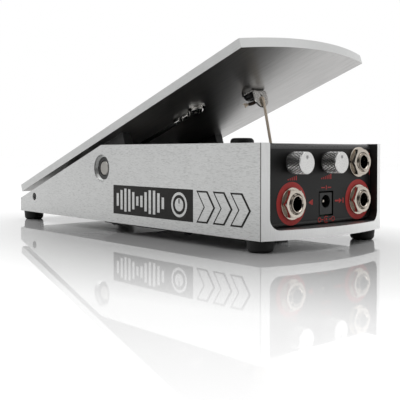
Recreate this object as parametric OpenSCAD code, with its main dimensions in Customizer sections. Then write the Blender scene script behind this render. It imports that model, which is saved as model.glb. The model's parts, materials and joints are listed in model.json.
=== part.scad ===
// Volume pedal: a rocking treadle on an open U-channel case. The treadle pulls a string
// that turns the volume pot's drum, and a spring in the case keeps the string taut.
// Frame: +Z up, toe end and jack panel towards -Y, origin at the middle of the footprint,
// on the surface that the feet stand on.

/* [Case] */
// Width of the case and of the treadle
case_w = 90; // [88:0.5:94]
// Length of the straight side wall
side_l = 232.5; // [230:0.5:236]
// Height of the side wall at the toe end
case_h = 44.5; // [44.3:0.1:46]
// Height of the side wall at the heel end
heel_h = 8.7; // [8:0.1:10]
// Distance from the front corner to the knee of the side wall
knee_y = 130.5; // [129:0.5:132]
// Thickness of the walls and floor
wall = 4.6; // [4.4:0.1:4.8]
// Radius of the fillets inside the channel
fillet_r = 5.5; // [4:0.5:6]
// How far the toe end bulges forward in plan
bulge = 7.3; // [6:0.1:8]

/* [Treadle] */
// Angle of the treadle when the heel is down
tilt = 19; // [18.5:0.1:19.2]
// Thickness of the treadle plate
plate_t = 4.76; // [4:0.01:5]
// Width of the treadle plate
treadle_w = 90.8; // [89:0.1:92]
// Distance from the pivot to the heel end of the plate
heel_reach = 100; // [98:0.5:101]
// Distance from the pivot to the plate's toe corners
toe_reach = 130.2; // [128:0.1:132]
// Height of the plate's underside above the pivot axis
pivot_drop = 15.8; // [15.6:0.05:16.1]
// Distance of the pivot axis from the front corners
pivot_y = 130; // [129:0.5:131]
// Height of the pivot axis above the case's underside
pivot_z = 30.9; // [30.5:0.1:31]
// Thickness of the grip mat
mat_t = 1.2; // [0.8:0.1:1.5]
// Margin between the mat and the plate's edges
mat_margin = 6; // [5:0.5:8]

/* [Pivot] */
// Diameter of the axle
axle_d = 8.8; // [8:0.1:9]
// Outer diameter of the pivot bushes
bush_d = 13.3; // [13:0.1:13.6]
// Diameter of the counterbore around each bush
cbore_d = 16; // [15:0.5:17]
// Depth of that counterbore
cbore_t = 1.8; // [1.5:0.1:2]
// Radial clearance between the axle and its bushes
run_gap = 0.05; // [0.02:0.01:0.1]
// Thickness of each ear under the treadle
ear_t = 5.8; // [5:0.1:6]
// Length of each ear
ear_l = 37; // [34:1:40]

/* [Feet] */
// Height of a rubber foot
foot_h = 5.8; // [5.5:0.1:6.5]
// Diameter of a rubber foot where it meets the case
foot_d = 13.2; // [12.6:0.1:13.2]
// Distance of a foot's centre from the case's faces
foot_inset = 6.6; // [6.6:0.1:8]

/* [Jack panel] */
// Distance of the panel's face behind the front corners
panel_y = 2.8; // [2.5:0.1:3.5]
// Thickness of the panel's sheet
panel_t = 1.5; // [1.2:0.1:1.6]
// Spacing of the panel's three columns
pitch = 25.4; // [25:0.1:25.6]
// Sideways place of the middle column
mid_x = 4; // [3.5:0.1:4.5]
// Height of the lower row's axes
low_z = 15.9; // [15.8:0.1:16]
// Height of the upper row's axes
top_z = 35.2; // [35:0.1:35.4]
// Diameter of the jack sockets' bore
jack_bore_d = 6.5; // [6.4:0.05:6.6]
// Diameter of a knob
knob_d = 10.6; // [10:0.1:12]
// Length of a knob
knob_l = 9.3; // [8.5:0.1:9.5]

/* [String drive] */
// Sideways place of the string, drum and spring
string_x = 5.8; // [5.7:0.1:5.9]
// Diameter of the string
string_d = 1.6; // [1.3:0.1:1.6]
// Radius of the drum on the pot's shaft
drum_r = 5.85; // [5.75:0.05:5.95]
// Distance of the drum's axis from the front corners
drum_y = 44.3; // [44:0.1:44.6]
// Height of the drum's axis
drum_z = 24; // [23.8:0.1:24.2]
// Distance from the pivot to the string bracket's face
bracket_reach = 89; // [88.5:0.1:89.5]

/* [Hidden] */
$fn = 48;
eps = 0.02;
corner_y = -(side_l - bulge) / 2;
arc_r = (case_w * case_w / 4 + bulge * bulge) / (2 * bulge);
in_w = case_w - 2 * wall;
slip = 0.1;

jack_xs = [mid_x - pitch, mid_x + pitch, mid_x + pitch];
jack_zs = [low_z, low_z, top_z];
knob_xs = [mid_x - pitch, mid_x];
panel_back = panel_y + panel_t;
panel_top = case_h - 0.1;
panel_bend = 3;
flange_l = 13;

washer_t = 0.9;
washer_d = 15.4;
nut_t = 2.4;
nut_af = 12.7;
bush_thread_d = 9.5;
bush_proud = 4.3;
jack_bush_l = 9;
jack_w = 16;
jack_deep = 20;
tuner_h = 12;
board_top = 9.4;
board_t = 1.6;
board_y0 = 6;
board_y1 = 31;
control_y = 19;
control_z0 = 26;
control_top = 42;
post_x = 31.5;
post_y = 27.5;

dc_w = 9.4;
dc_h = 10.8;
dc_deep = 14;
dc_hole_r = 3.15;
dc_hole_l = 9.5;
dc_pin_r = 1;
dc_gap = 0.8;

shaft_r = 3;
knob_gap = 0.5;
knob_bevel = 0.3;
knob_bore_l = 7.5;
small_pot_w = 9.8;
small_pot_h = 11;
small_pot_l = 6.7;
small_pot_back = 2;
shaft_clear = 0.6;
plug_clear = 0.4;
jack_back_t = 1.5;
jack_above = 6.3;
dc_setback = 0.2;
dc_pin_start = 1.4;
board_gap = 1.8;
board_bite = 1.8;
post_r = 2.9;
control_past_pot = 7.5;
control_past_jack = 8.5;
control_leg_gap = 1;
chip_at = [14, 22.5];
chip_size = [4.9, 6, 1.6];
capacitor_xs = [-16.5, 7, 11.5];
capacitor_y = 27.5;
capacitor_h = 6.5;
knob_dot_r = 0.7;
knob_dot_l = 0.5;

pin_y = 212.8;
pin_z = 10.5;
pin_r = 2.5;
pin_recess = 2.5;

ear_x1 = in_w / 2 - 1.7;
ear_x0 = ear_x1 - ear_t;
ear_bottom = 11;
thrust_rim = 2;
thrust_gap = 0.3;
ear_chin = 9;
axle_half = case_w / 2 - cbore_t;
set_screw_r = 2;
ear_screw_r = 2;
ear_head_r = 4;
ear_screw_l = 14;
ear_key_r = 1.25;
ear_screw_ys = [-11.5, 11.5];
mount_screw_r = 2;
small_screw_r = 1.5;
screw_bite = 3.2;
rubber_head_r = 3;
rubber_head_h = 1.8;
cover_head_r = 2.7;
cover_head_h = 1.5;
board_head_r = 2.6;
board_head_h = 1.6;
flat_head_r = 3;
flat_tail = 0.9;
flat_key_r = 1;
mount_head_r = 3.6;
mount_bite = 3.4;
string_head_h = 1.9;
string_washer_r = 4.2;
string_washer_t = 0.6;
earth_head_h = 2.4;
button_hole_r = 1.52;
button_sink_r = 3.6;
button_sink_l = 2.4;

tab_w = 9.6;
tab_t = 1.1;
tab_drop = 10.6;
tab_hole_r = 1.3;
bracket_screw_y = -bracket_reach + 7.2;
bracket_l = 7.2 + tab_w / 2;
ring_x = -15.7;
ring_y = -59.5;
ring_t = 0.8;
ring_r = 5;
ring_neck_w = 3.2;
ring_l = 20;
crimps = [[7.5, 4, 1.5, 0.9], [15, 4.4, 2.1, 1.2]];
mount_hole_l = 3.6;

stop_x = -12;
stop_y = 46;
stop_top = 47.65;
web_x = -1.5;
web_t = 1.5;
web_y0 = 33;
web_y1 = 58;
flange_x = -20;
bend_r = 2.5;
pot_r = 12;
pot_l = 10;
pot_shaft_r = 3.175;
pot_bush_r = 4.75;
drum_w = 7.2;
drum_flange_r = 8.4;
drum_lip = 1.1;
pot_thread_l = 3.4;
pot_back_t = 2;
pot_nut_af = 12.7;
pot_nut_t = 2.1;
lug_t = 0.8;
lug_w = 2.4;
lug_l = 9;
lug_reach = 5.6;
stop_pad = 16;
wrap_r = drum_r + string_d / 2 + 0.1;

heel_stop_y = 222.6;
heel_stop_h = 8.5;
heel_stop_d = 12;

cover_t = 1.4;
cover_half = 40;
cover_y0 = 58;
cover_y1 = 138;
hatch_w = 22;
hatch_l = 44;
hatch_y = 82;
cover_screw_at = [[-34, 64], [34, 64], [-34, 131], [34, 131]];

// The string leaves the drum's underside along this sloping line to the heel pin.
line_z = drum_z - wrap_r;
line_tilt = atan((line_z - pin_z) / (pin_y - drum_y));
line_l = (pin_y - drum_y) / cos(line_tilt);
hook_s = 66;
hook_t = 1;
hook_r = 2.4;
hook_hole_r = 1.3;
spring_s0 = 76;
spring_s1 = 158;
spring_r = 3.2;
wire_r = 0.45;
hook_ring_r = 2.6;
pin_ring_r = pin_r + 0.55;

// The string's hole in the bracket's tab, and the point where the string meets the drum.
hole_local = [string_x, -bracket_reach + tab_t / 2, pivot_drop - 4.4];
hole_at = treadle_point(hole_local);
hole_dy = hole_at[1] - drum_y;
hole_dz = hole_at[2] - drum_z;
tangent_a = atan2(hole_dz, hole_dy) + acos(wrap_r / norm([hole_dy, hole_dz]));
tangent_at = [string_x, drum_y + wrap_r * cos(tangent_a), drum_z + wrap_r * sin(tangent_a)];

// Route of the string in the treadle's own frame: cut tail, behind the tab, through the hole.
string_start = [[3.6, -80.6, 10], [4.5, -83, 10], [5.3, -85.4, 10.4], [5.8, -87.2, 11.2],
    hole_local, [5.8, -90.6, 10.8]];

// Route of the earth wire in the case's frame: off the ring terminal, over the axle, down to
// the floor behind it, forward along the floor and up to the main board.
earth_route = [[-15.7, 97.5, 56.9], [-16, 100, 55.7], [-16.3, 106, 53.2], [-16.8, 114, 50.2],
    [-17, 122, 47.4], [-17.2, 130, 44.4], [-17.6, 137, 39.8], [-18.2, 141.5, 33], [-19, 142, 25],
    [-20.2, 139.5, 16.5], [-21.8, 133, 10], [-23.4, 123, 7], [-25, 110, 6.2], [-26.4, 90, 6],
    [-27, 70, 6], [-27, 50, 6.2], [-26.6, 41, 8], [-26, 34.5, 11], [-25.6, 30.5, 12.6],
    [-25.3, 28.6, 12.2], [-25.2, 28, 10.8], [-25.2, 27.9, 9.5]];
earth_d = 1.9;

// Routes of the pot's three leads in the case's frame, from its lugs down to the main board.
lug_x = -6.4;
lug_zs = [19, 24, 29];
lead_d = 1.2;
lead_routes = [
    [[-6.4, 26.55, 19], [-6.4, 25.8, 18.9], [-6.4, 25, 17.4], [-6.4, 25, 13.5], [-6.4, 25.4, 9.5]],
    [[-6.4, 26.55, 24], [-6.5, 25.8, 23.9], [-7.4, 25, 22.4], [-9, 24.8, 16.5], [-9.4, 25.4, 9.5]],
    [[-6.4, 26.55, 29], [-6.6, 25.8, 28.9], [-8.4, 24.8, 27], [-11.6, 24.6, 20], [-12.4, 25.4, 9.5]]];

// A point of the treadle's own frame (origin on the pivot axis), in the case's frame.
function treadle_point(p) = [
    p[0],
    pivot_y + p[1] * cos(tilt) + p[2] * sin(tilt),
    pivot_z - p[1] * sin(tilt) + p[2] * cos(tilt)];

function unit(v) = v / norm(v);

// One point of the smooth curve through a route, between points i and i + 1.
function curve_point(route, i, t) =
    let (a = route[max(i - 1, 0)],
         b = route[i],
         c = route[i + 1],
         d = route[min(i + 2, len(route) - 1)])
    0.5 * (2 * b + (c - a) * t + (2 * a - 5 * b + 4 * c - d) * t * t
        + (3 * b - a - 3 * c + d) * t * t * t);

function smooth(route, steps) = concat(
    [for (i = [0:len(route) - 2]) for (j = [0:steps - 1]) curve_point(route, i, j / steps)],
    [route[len(route) - 1]]);

function heading(path, i) = unit(path[min(i + 1, len(path) - 1)] - path[max(i - 1, 0)]);

// The case's own frame: origin between the front corners, on the case's underside.
module on_case() {
    translate([0, corner_y, foot_h]) children();
}

// The treadle's own frame: origin on the pivot axis, y along the plate towards the heel.
module on_treadle() {
    on_case() translate([0, pivot_y, pivot_z]) rotate([-tilt, 0, 0]) children();
}

// The lower string's frame: y runs from the drum's underside to the heel pin.
module on_line() {
    on_case() translate([string_x, drum_y, line_z]) rotate([-line_tilt, 0, 0]) children();
}

module rod_x(r, x0, x1) {
    translate([x0, 0, 0]) rotate([0, 90, 0]) cylinder(r = r, h = x1 - x0);
}

module rod_y(r, y0, y1) {
    translate([0, y0, 0]) rotate([-90, 0, 0]) cylinder(r = r, h = y1 - y0);
}

// Extrudes an outline drawn in (y, z) along X.
module slab_x(x0, x1) {
    translate([x0, 0, 0]) rotate([90, 0, 90]) linear_extrude(x1 - x0) children();
}

// Extrudes an outline drawn in (x, z) along Y.
module slab_y(y0, y1) {
    translate([0, y1, 0]) rotate([90, 0, 0]) linear_extrude(y1 - y0) children();
}

module round_rect(x0, y0, x1, y1, r) {
    translate([x0 + r, y0]) square([x1 - x0 - 2 * r, y1 - y0]);
    translate([x0, y0 + r]) square([x1 - x0, y1 - y0 - 2 * r]);
    for (x = [x0 + r, x1 - r])
        for (y = [y0 + r, y1 - r])
            translate([x, y]) circle(r = r);
}

// A quarter of a ring, the bend of a folded sheet, in the quadrant given by two signs.
module bend(r, t, sx, sy) {
    intersection() {
        difference() {
            circle(r = r);
            circle(r = r - t);
        }
        translate([sx > 0 ? 0 : -r, sy > 0 ? 0 : -r]) square(r);
    }
}

// A round tube along a path that stays away from the X direction.
module tube(path, r, sides) {
    ring_count = len(path);
    points = [
        for (i = [0:ring_count - 1])
            let (t = heading(path, i), s = unit(cross(t, [1, 0, 0])), b = cross(t, s))
                for (k = [0:sides - 1])
                    path[i] + r * (cos(360 * k / sides) * s + sin(360 * k / sides) * b)];
    walls = [
        for (i = [0:ring_count - 2])
            for (k = [0:sides - 1])
                let (n = (k + 1) % sides)
                    [i * sides + k, (i + 1) * sides + k, (i + 1) * sides + n, i * sides + n]];
    first = [for (k = [0:sides - 1]) k];
    last = [for (k = [0:sides - 1]) (ring_count - 1) * sides + sides - 1 - k];
    polyhedron(points, concat([first], walls, [last]));
}

// A flat-headed screw: its head's top at z = 0, its shank down to -l.
module flat_screw(r, head_r, l, key_r) {
    difference() {
        rotate_extrude() polygon([[0, 0], [head_r, 0], [r, r - head_r], [r, -l], [0, -l]]);
        translate([0, 0, -1.2]) cylinder(r = key_r, h = 2, $fn = 6);
    }
}

module flat_screw_hole(r, head_r, l) {
    rotate_extrude()
        polygon([[0, 1], [head_r + eps, 1], [head_r + eps, -eps], [r + eps, r - head_r - eps],
            [r + eps, -l], [0, -l]]);
}

// A pan-headed screw: it bears on z = 0, its head above and its shank down to -l.
module pan_screw(r, head_r, head_h, l) {
    slot_w = head_r * 0.28;
    slot_l = head_r * 1.1;
    slot_z = head_h * 0.4;
    side_h = head_h * 0.55;
    crown_r = head_r * 0.72;
    difference() {
        union() {
            translate([0, 0, -l]) cylinder(r = r, h = l);
            cylinder(r = head_r, h = side_h);
            translate([0, 0, side_h]) cylinder(r1 = head_r, r2 = crown_r, h = head_h - side_h);
        }
        for (a = [0, 90])
            rotate(a) translate([-slot_l / 2, -slot_w / 2, slot_z]) cube([slot_l, slot_w, head_h]);
    }
}

// A rubber button: wide end on z = 0, rounded free end at z = h, with a sunk screw hole.
module button(d, h) {
    round_r = 2;
    free_r = d / 2 - 0.35;
    rotate_extrude() {
        polygon([[button_hole_r, 0], [d / 2, 0], [free_r, h - round_r], [free_r - round_r, h],
            [button_sink_r, h], [button_sink_r, h - button_sink_l], [button_hole_r, h - button_sink_l]]);
        intersection() {
            translate([free_r - round_r, h - round_r]) circle(r = round_r);
            translate([button_sink_r, h - 2 * round_r]) square([round_r * 3, 2 * round_r]);
        }
    }
}

// The case's outline in plan: straight sides, square heel end, toe end on an arc.
module arc_plan(half_w, length) {
    intersection() {
        translate([-half_w, -bulge]) square([2 * half_w, length + bulge]);
        translate([0, arc_r - bulge]) circle(r = arc_r);
    }
}

module channel_section() {
    inner = in_w / 2;
    difference() {
        translate([-case_w / 2, 0]) square([case_w, case_h]);
        translate([-inner, wall + fillet_r]) square([in_w, case_h]);
        translate([-inner + fillet_r, wall]) square([in_w - 2 * fillet_r, case_h]);
        for (x = [-inner + fillet_r, inner - fillet_r])
            translate([x, wall + fillet_r]) circle(r = fillet_r);
    }
}

module foot_places() {
    far_x = case_w / 2 - foot_inset;
    for (x = [-far_x, far_x])
        for (y = [foot_inset, side_l - foot_inset])
            translate([x, y, 0]) children();
}

module cover_screw_places() {
    for (p = cover_screw_at) translate([p[0], p[1], 0]) children();
}

module panel_screw_places() {
    for (x = [-26, 26]) translate([x, panel_y + 8.5, 0]) children();
}

module bracket_bolt_places() {
    for (y = [web_y0 + 5, web_y1 - 5]) translate([-12, y, 0]) children();
}

module post_places() {
    for (x = [-post_x, post_x]) translate([x, post_y, 0]) children();
}

module case_channel() {
    color("silver") on_case() difference() {
        intersection() {
            slab_y(-bulge, side_l) channel_section();
            linear_extrude(case_h) arc_plan(case_w / 2, side_l);
        }
        slab_x(-case_w, case_w)
            polygon([[knee_y, case_h], [side_l, heel_h], [side_l + 1, heel_h], [side_l + 1, case_h + 1],
                [knee_y, case_h + 1]]);
        translate([0, pivot_y, pivot_z]) {
            rod_x(bush_d / 2 + eps, -case_w, case_w);
            rod_x(cbore_d / 2, -case_w, -case_w / 2 + cbore_t);
            rod_x(cbore_d / 2, case_w / 2 - cbore_t, case_w);
        }
        translate([0, pin_y, pin_z]) rod_x(pin_r + eps, -case_w, case_w);
        foot_places() cylinder(r = small_screw_r + eps, h = 3.4);
        translate([0, heel_stop_y, wall - 3.4]) cylinder(r = small_screw_r + eps, h = wall);
        cover_screw_places() cylinder(r = small_screw_r + eps, h = 3.4);
        post_places() translate([0, 0, wall - 2]) cylinder(r = small_screw_r + eps, h = wall);
        panel_screw_places() rotate([180, 0, 0]) flat_screw_hole(small_screw_r, flat_head_r, wall + 1);
        bracket_bolt_places() rotate([180, 0, 0]) flat_screw_hole(small_screw_r, flat_head_r, wall + 1);
        translate([string_x - hatch_w / 2, hatch_y, -1]) cube([hatch_w, hatch_l, wall + 2]);
    }
}

module jack_panel() {
    floor_z = wall + slip;
    half = in_w / 2 - slip;
    color([0.16, 0.16, 0.16]) on_case() difference() {
        intersection() {
            slab_x(-half, half) translate([panel_y, 0]) {
                translate([0, floor_z + panel_bend])
                    square([panel_t, panel_top - floor_z - 2 * panel_bend]);
                translate([panel_bend, panel_top - panel_bend]) bend(panel_bend, panel_t, -1, 1);
                translate([panel_bend, panel_top - panel_t]) square([flange_l - panel_bend, panel_t]);
                translate([panel_bend, floor_z + panel_bend]) bend(panel_bend, panel_t, -1, -1);
                translate([panel_bend, floor_z]) square([flange_l - panel_bend, panel_t]);
            }
            slab_y(0, side_l) union() {
                round_rect(-half, floor_z, half, case_h, fillet_r);
                translate([-half, case_h / 2]) square([2 * half, case_h]);
            }
        }
        for (i = [0:2])
            translate([jack_xs[i], 0, jack_zs[i]]) rod_y(bush_thread_d / 2 + slip, 0, panel_back + 1);
        for (x = knob_xs) translate([x, 0, top_z]) rod_y(shaft_r + shaft_clear, 0, panel_back + 1);
        translate([mid_x - dc_w / 2 - dc_gap, 0, board_top - dc_gap])
            cube([dc_w + 2 * dc_gap, panel_back + 1, dc_h + 2 * dc_gap]);
        panel_screw_places() cylinder(r = small_screw_r + eps, h = wall + 4);
    }
}

module panel_screws() {
    color("dimgray") on_case() panel_screw_places()
        rotate([180, 0, 0])
            flat_screw(small_screw_r, flat_head_r, wall + panel_t + flat_tail, flat_key_r);
}

module bottom_cover() {
    color([0.1, 0.1, 0.1]) on_case() difference() {
        translate([0, 0, -cover_t]) linear_extrude(cover_t)
            round_rect(-cover_half, cover_y0, cover_half, cover_y1, 5);
        translate([0, 0, -2 * cover_t]) cover_screw_places()
            cylinder(r = small_screw_r + eps, h = 3 * cover_t);
    }
}

module cover_screws() {
    color("dimgray") on_case() translate([0, 0, -cover_t])
        cover_screw_places() rotate([180, 0, 0])
            pan_screw(small_screw_r, cover_head_r, cover_head_h, cover_t + screw_bite);
}

module foot(sx, toe) {
    y = toe ? foot_inset : side_l - foot_inset;
    color([0.09, 0.09, 0.09]) on_case()
        translate([sx * (case_w / 2 - foot_inset), y, 0]) mirror([0, 0, 1]) button(foot_d, foot_h);
}

module foot_toe_left() {
    foot(-1, true);
}

module foot_toe_right() {
    foot(1, true);
}

module foot_heel_left() {
    foot(-1, false);
}

module foot_heel_right() {
    foot(1, false);
}

module toe_stop() {
    color([0.09, 0.09, 0.09]) on_case()
        translate([stop_x, stop_y, stop_top - foot_h]) button(foot_d, foot_h);
}

module heel_stop() {
    color([0.09, 0.09, 0.09]) on_case()
        translate([0, heel_stop_y, wall]) button(heel_stop_d, heel_stop_h);
}

// A screw through a rubber piece of height h, seated in its sunk hole.
module rubber_screw(h) {
    translate([0, 0, h - button_sink_l])
        pan_screw(small_screw_r, rubber_head_r, rubber_head_h, h - button_sink_l + screw_bite);
}

// The identical screws that hold the feet and the two stops.
module rubber_screws() {
    color("dimgray") on_case() {
        foot_places() rotate([180, 0, 0]) rubber_screw(foot_h);
        translate([stop_x, stop_y, stop_top - foot_h]) rubber_screw(foot_h);
        translate([0, heel_stop_y, wall]) rubber_screw(heel_stop_h);
    }
}

// A bush pressed into the wall, with a thrust flange between the wall and the ear.
module pivot_bush(sx) {
    color([0.1, 0.1, 0.1]) on_case() translate([0, pivot_y, pivot_z])
        mirror([sx > 0 ? 0 : 1, 0, 0]) difference() {
            union() {
                rod_x(bush_d / 2, in_w / 2, case_w / 2 - cbore_t);
                rod_x(bush_d / 2 + thrust_rim, ear_x1 + thrust_gap, in_w / 2);
            }
            rod_x(axle_d / 2 + run_gap, 0, case_w);
        }
}

module pivot_bush_left() {
    pivot_bush(-1);
}

module pivot_bush_right() {
    pivot_bush(1);
}

module heel_pin() {
    half = case_w / 2 - pin_recess;
    color([0.14, 0.14, 0.14]) on_case() translate([0, pin_y, pin_z]) rod_x(pin_r, -half, half);
}

// A jack's plastic housing behind the panel, bored for its bushing and for the plug.
module jack_housing(i, z0, z1, deep) {
    color([0.13, 0.13, 0.13]) on_case() difference() {
        translate([jack_xs[i] - jack_w / 2, panel_back, z0]) cube([jack_w, deep, z1 - z0]);
        translate([jack_xs[i], 0, jack_zs[i]]) {
            rod_y(bush_thread_d / 2 + eps, 0, panel_y - bush_proud + jack_bush_l + eps);
            rod_y(jack_bore_d / 2 + plug_clear, 0, panel_back + deep - jack_back_t);
        }
    }
}

module input_jack() {
    jack_housing(0, board_top, low_z + jack_above, jack_deep);
}

module output_jack() {
    jack_housing(1, board_top, low_z + jack_above, jack_deep);
}

module tuner_jack() {
    jack_housing(2, top_z - tuner_h / 2, top_z + tuner_h / 2, control_y - panel_back);
}

module jack_places() {
    for (i = [0:2]) translate([jack_xs[i], panel_y, jack_zs[i]]) children();
}

module jack_bushings() {
    color([0.72, 0.69, 0.64]) on_case() jack_places() difference() {
        rod_y(bush_thread_d / 2, -bush_proud, jack_bush_l - bush_proud);
        rod_y(jack_bore_d / 2, -bush_proud - 1, jack_bush_l);
    }
}

module jack_washers() {
    color([0.78, 0.75, 0.7]) on_case() jack_places() difference() {
        rod_y(washer_d / 2, -washer_t, 0);
        rod_y(bush_thread_d / 2 + slip, -washer_t - 1, 1);
    }
}

module jack_nuts() {
    color([0.75, 0.72, 0.67]) on_case() jack_places() difference() {
        translate([0, -washer_t, 0]) rotate([90, 0, 0])
            cylinder(r = nut_af / 2 / cos(30), h = nut_t, $fn = 6);
        rod_y(bush_thread_d / 2 + eps, -washer_t - nut_t - 1, 1);
    }
}

module dc_jack() {
    color([0.15, 0.15, 0.15]) on_case() difference() {
        translate([mid_x - dc_w / 2, panel_y + dc_setback, board_top]) cube([dc_w, dc_deep, dc_h]);
        translate([mid_x, panel_y, low_z]) rod_y(dc_hole_r, -1, dc_hole_l);
    }
}

module dc_pin() {
    color([0.85, 0.8, 0.7]) on_case()
        translate([mid_x, panel_y, low_z]) rod_y(dc_pin_r, dc_pin_start, dc_hole_l);
}

module main_board() {
    half = in_w / 2 - board_gap;
    color([0.1, 0.32, 0.18]) on_case() difference() {
        translate([-half, board_y0, board_top - board_t]) cube([2 * half, board_y1 - board_y0, board_t]);
        post_places() cylinder(r = small_screw_r + eps, h = board_top + 1);
    }
}

module board_posts() {
    color([0.8, 0.76, 0.6]) on_case() post_places() translate([0, 0, wall]) difference() {
        cylinder(r = post_r, h = board_top - board_t - wall, $fn = 6);
        translate([0, 0, -1]) cylinder(r = small_screw_r + eps, h = board_top);
    }
}

module board_screws() {
    color("gray") on_case() post_places()
        translate([0, 0, board_top])
            pan_screw(small_screw_r, board_head_r, board_head_h, board_top - wall + board_bite);
}

// The upright board behind the upper row, standing on the main board.
module control_board() {
    left = knob_xs[0] - control_past_pot;
    right = jack_xs[2] + control_past_jack;
    leg_left = jack_xs[0] + jack_w / 2 + control_leg_gap;
    leg_right = jack_xs[1] - jack_w / 2 - control_leg_gap;
    color([0.1, 0.32, 0.18]) on_case() slab_y(control_y, control_y + board_t) {
        translate([left, control_z0]) square([right - left, control_top - control_z0]);
        translate([leg_left, board_top]) square([leg_right - leg_left, control_z0 - board_top]);
    }
}

module amp_chip() {
    color([0.1, 0.1, 0.1]) on_case() translate([chip_at[0], chip_at[1], board_top]) cube(chip_size);
}

module capacitors() {
    color([0.2, 0.22, 0.35]) on_case()
        for (x = capacitor_xs) translate([x, capacitor_y, board_top]) cylinder(r = 2, h = capacitor_h);
}

module small_pot(x) {
    color([0.35, 0.37, 0.4]) on_case() translate([x, control_y, top_z]) difference() {
        translate([-small_pot_w / 2, -small_pot_l, -small_pot_h / 2])
            cube([small_pot_w, small_pot_l, small_pot_h]);
        rod_y(shaft_r + run_gap, -small_pot_l - 1, -small_pot_back);
    }
}

module min_pot() {
    small_pot(knob_xs[0]);
}

module gain_pot() {
    small_pot(knob_xs[1]);
}

module small_shaft(x) {
    color("silver") on_case() translate([x, 0, top_z])
        rod_y(shaft_r, panel_y - knob_gap - knob_bore_l + 0.2, control_y - small_pot_back - 0.4);
}

module min_shaft() {
    small_shaft(knob_xs[0]);
}

module gain_shaft() {
    small_shaft(knob_xs[1]);
}

module knob(x) {
    r = knob_d / 2;
    back = panel_y - knob_gap;
    color([0.8, 0.8, 0.8]) on_case() translate([x, back, top_z]) difference() {
        rotate([90, 0, 0]) rotate_extrude() difference() {
            polygon([[0, 0], [r - knob_bevel, 0], [r, knob_bevel], [r, knob_l - knob_bevel],
                [r - knob_bevel, knob_l], [0, knob_l]]);
            translate([-1, -1]) square([shaft_r + eps + 1, knob_bore_l + 1]);
        }
        translate([0, -knob_l, r * 0.52]) rod_y(knob_dot_r, -1, knob_dot_l);
    }
}

module min_knob() {
    knob(knob_xs[0]);
}

module gain_knob() {
    knob(knob_xs[1]);
}

// The bracket that carries the volume pot, and the toe stop on its top flange.
module pot_bracket() {
    floor_z = wall + slip;
    top = stop_top - foot_h;
    left = web_x - web_t;
    color([0.14, 0.14, 0.14]) on_case() difference() {
        intersection() {
            slab_y(web_y0, web_y1) {
                translate([left, floor_z + bend_r]) square([web_t, top - floor_z - 2 * bend_r]);
                translate([web_x - bend_r, top - bend_r]) bend(bend_r, web_t, 1, 1);
                translate([flange_x, top - web_t]) square([web_x - bend_r - flange_x, web_t]);
                translate([web_x - bend_r, floor_z + bend_r]) bend(bend_r, web_t, 1, -1);
                translate([flange_x, floor_z]) square([web_x - bend_r - flange_x, web_t]);
            }
            slab_x(flange_x - 1, web_x + 1) union() {
                translate([web_y0, 0]) square([web_y1 - web_y0, top - bend_r]);
                translate([stop_y - stop_pad / 2, 0]) square([stop_pad, top + 1]);
            }
        }
        translate([0, drum_y, drum_z]) rod_x(pot_bush_r + eps, left - 1, web_x + 1);
        bracket_bolt_places() cylinder(r = small_screw_r + eps, h = 2 * wall);
        translate([stop_x, stop_y, top - 4]) cylinder(r = small_screw_r + eps, h = 5);
    }
}

module bracket_bolts() {
    color("dimgray") on_case() bracket_bolt_places()
        rotate([180, 0, 0]) flat_screw(small_screw_r, flat_head_r, wall + web_t + flat_tail, flat_key_r);
}

module volume_pot() {
    can_x = web_x - web_t;
    color([0.6, 0.62, 0.64]) on_case() translate([0, drum_y, drum_z]) difference() {
        union() {
            rod_x(pot_r, can_x - pot_l, can_x);
            rod_x(pot_bush_r, can_x, web_x + pot_thread_l);
            for (z = lug_zs)
                translate([lug_x - lug_t / 2, -pot_r - lug_reach, z - drum_z - lug_w / 2])
                    cube([lug_t, lug_l, lug_w]);
        }
        rod_x(pot_shaft_r + run_gap, can_x - pot_l + pot_back_t, web_x + pot_thread_l + 1);
    }
}

module pot_nut() {
    color([0.78, 0.76, 0.7]) on_case() translate([0, drum_y, drum_z]) difference() {
        translate([web_x, 0, 0]) rotate([0, 90, 0])
            cylinder(r = pot_nut_af / 2 / cos(30), h = pot_nut_t, $fn = 6);
        rod_x(pot_bush_r + eps, web_x - 1, web_x + 3);
    }
}

module pot_leads() {
    color([0.55, 0.1, 0.1]) on_case()
        for (r = lead_routes) tube(smooth(r, 4), lead_d / 2, 8);
}

module pot_shaft() {
    color("silver") on_case() translate([0, drum_y, drum_z])
        rod_x(pot_shaft_r, web_x - web_t - pot_l + pot_back_t + 0.2, string_x + drum_w / 2);
}

module string_drum() {
    color([0.12, 0.12, 0.12]) on_case() translate([string_x - drum_w / 2, drum_y, drum_z])
        rotate([0, 90, 0]) rotate_extrude() difference() {
            union() {
                square([drum_r, drum_w]);
                square([drum_flange_r, drum_lip]);
                translate([0, drum_w - drum_lip]) square([drum_flange_r, drum_lip]);
            }
            translate([-1, -1]) square([pot_shaft_r + eps + 1, drum_w + 2]);
        }
}

// The turns of string that grip the drum, one each side of the two runs.
module string_wrap() {
    color([0.66, 0.58, 0.48]) on_case() translate([string_x, drum_y, drum_z]) rotate([0, 90, 0])
        for (x = [-1, 1]) translate([0, 0, x * (string_d + 0.05)])
            rotate_extrude() translate([wrap_r, 0]) circle(d = string_d);
}

module plate_outline(margin, corner_r) {
    half = treadle_w / 2 - margin;
    heel = heel_reach - margin;
    toe = toe_reach - margin;
    intersection() {
        round_rect(-half, -toe - bulge, half, heel, corner_r);
        translate([0, arc_r - bulge - toe]) circle(r = arc_r);
    }
}

module ear_screw_places() {
    for (x = [-(ear_x0 + ear_x1) / 2, (ear_x0 + ear_x1) / 2])
        for (y = ear_screw_ys) translate([x, y, pivot_drop + plate_t]) children();
}

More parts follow.
